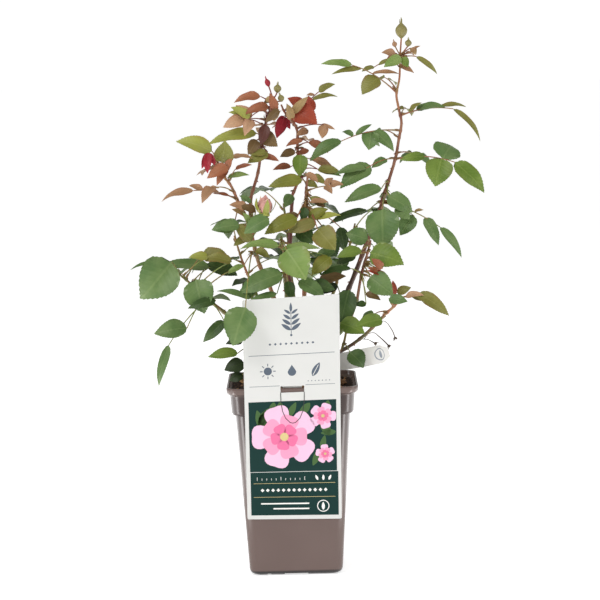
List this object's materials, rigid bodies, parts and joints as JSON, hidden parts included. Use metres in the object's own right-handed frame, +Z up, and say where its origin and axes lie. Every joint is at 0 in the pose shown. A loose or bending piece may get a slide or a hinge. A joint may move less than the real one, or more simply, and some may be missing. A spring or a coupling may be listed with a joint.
{
  "type": "potted rose bush",
  "caption": "Young container-grown rose bush in a deep square nursery pot, with a hanging picture card and a stem tag.",
  "frame": {"origin": "middle of the pot's flat underside", "axes": "+X to the right and +Y to the back as seen from the card's side, +Z up"},
  "size_m": [0.4112, 0.276, 0.6351],
  "materials": {
    "pot": "satin moulded taupe plastic",
    "soil": "moist potting mix with bark chips",
    "card": "printed white card",
    "tag": "translucent white film",
    "old_wood": "rough bark",
    "red_bark": "smooth reddish bark",
    "green_bark": "smooth green bark",
    "green_leaf": "satin leaf",
    "deep_leaf": "satin leaf",
    "olive_leaf": "satin leaf",
    "bronze_leaf": "satin leaf",
    "red_leaf": "satin leaf"
  },
  "bodies": {
    "root": {"pot": "pot", "soil": "soil", "hanging_card": "card", "stem_tag": "tag", "bud_union": "old_wood", "tall_cane": "red_bark", "left_cane": "green_bark", "left_fork": "green_bark", "upper_fork": "green_bark", "middle_cane": "green_bark", "front_cane": "green_bark", "centre_cane": "green_bark", "side_cane": "green_bark", "low_right_cane": "green_bark", "low_left_cane": "green_bark", "back_left_cane": "green_bark", "back_right_cane": "green_bark", "back_cane": "green_bark", "tall_shoot_top": "olive_leaf", "tall_shoot_middle": "green_leaf", "tall_shoot_lower": "green_leaf", "upper_left_shoot": "bronze_leaf", "left_shoot": "red_leaf", "bud_shoot": "green_leaf", "centre_upper_shoot": "red_leaf", "centre_shoot": "olive_leaf", "front_shoot": "green_leaf", "hanging_shoot": "green_leaf", "side_shoot": "green_leaf", "low_right_shoot": "olive_leaf", "low_centre_shoot": "deep_leaf", "low_left_shoot": "green_leaf", "rim_left_shoot": "green_leaf", "back_left_shoot": "deep_leaf", "back_right_shoot": "green_leaf", "back_shoot": "deep_leaf"}
  },
  "joints": []
}
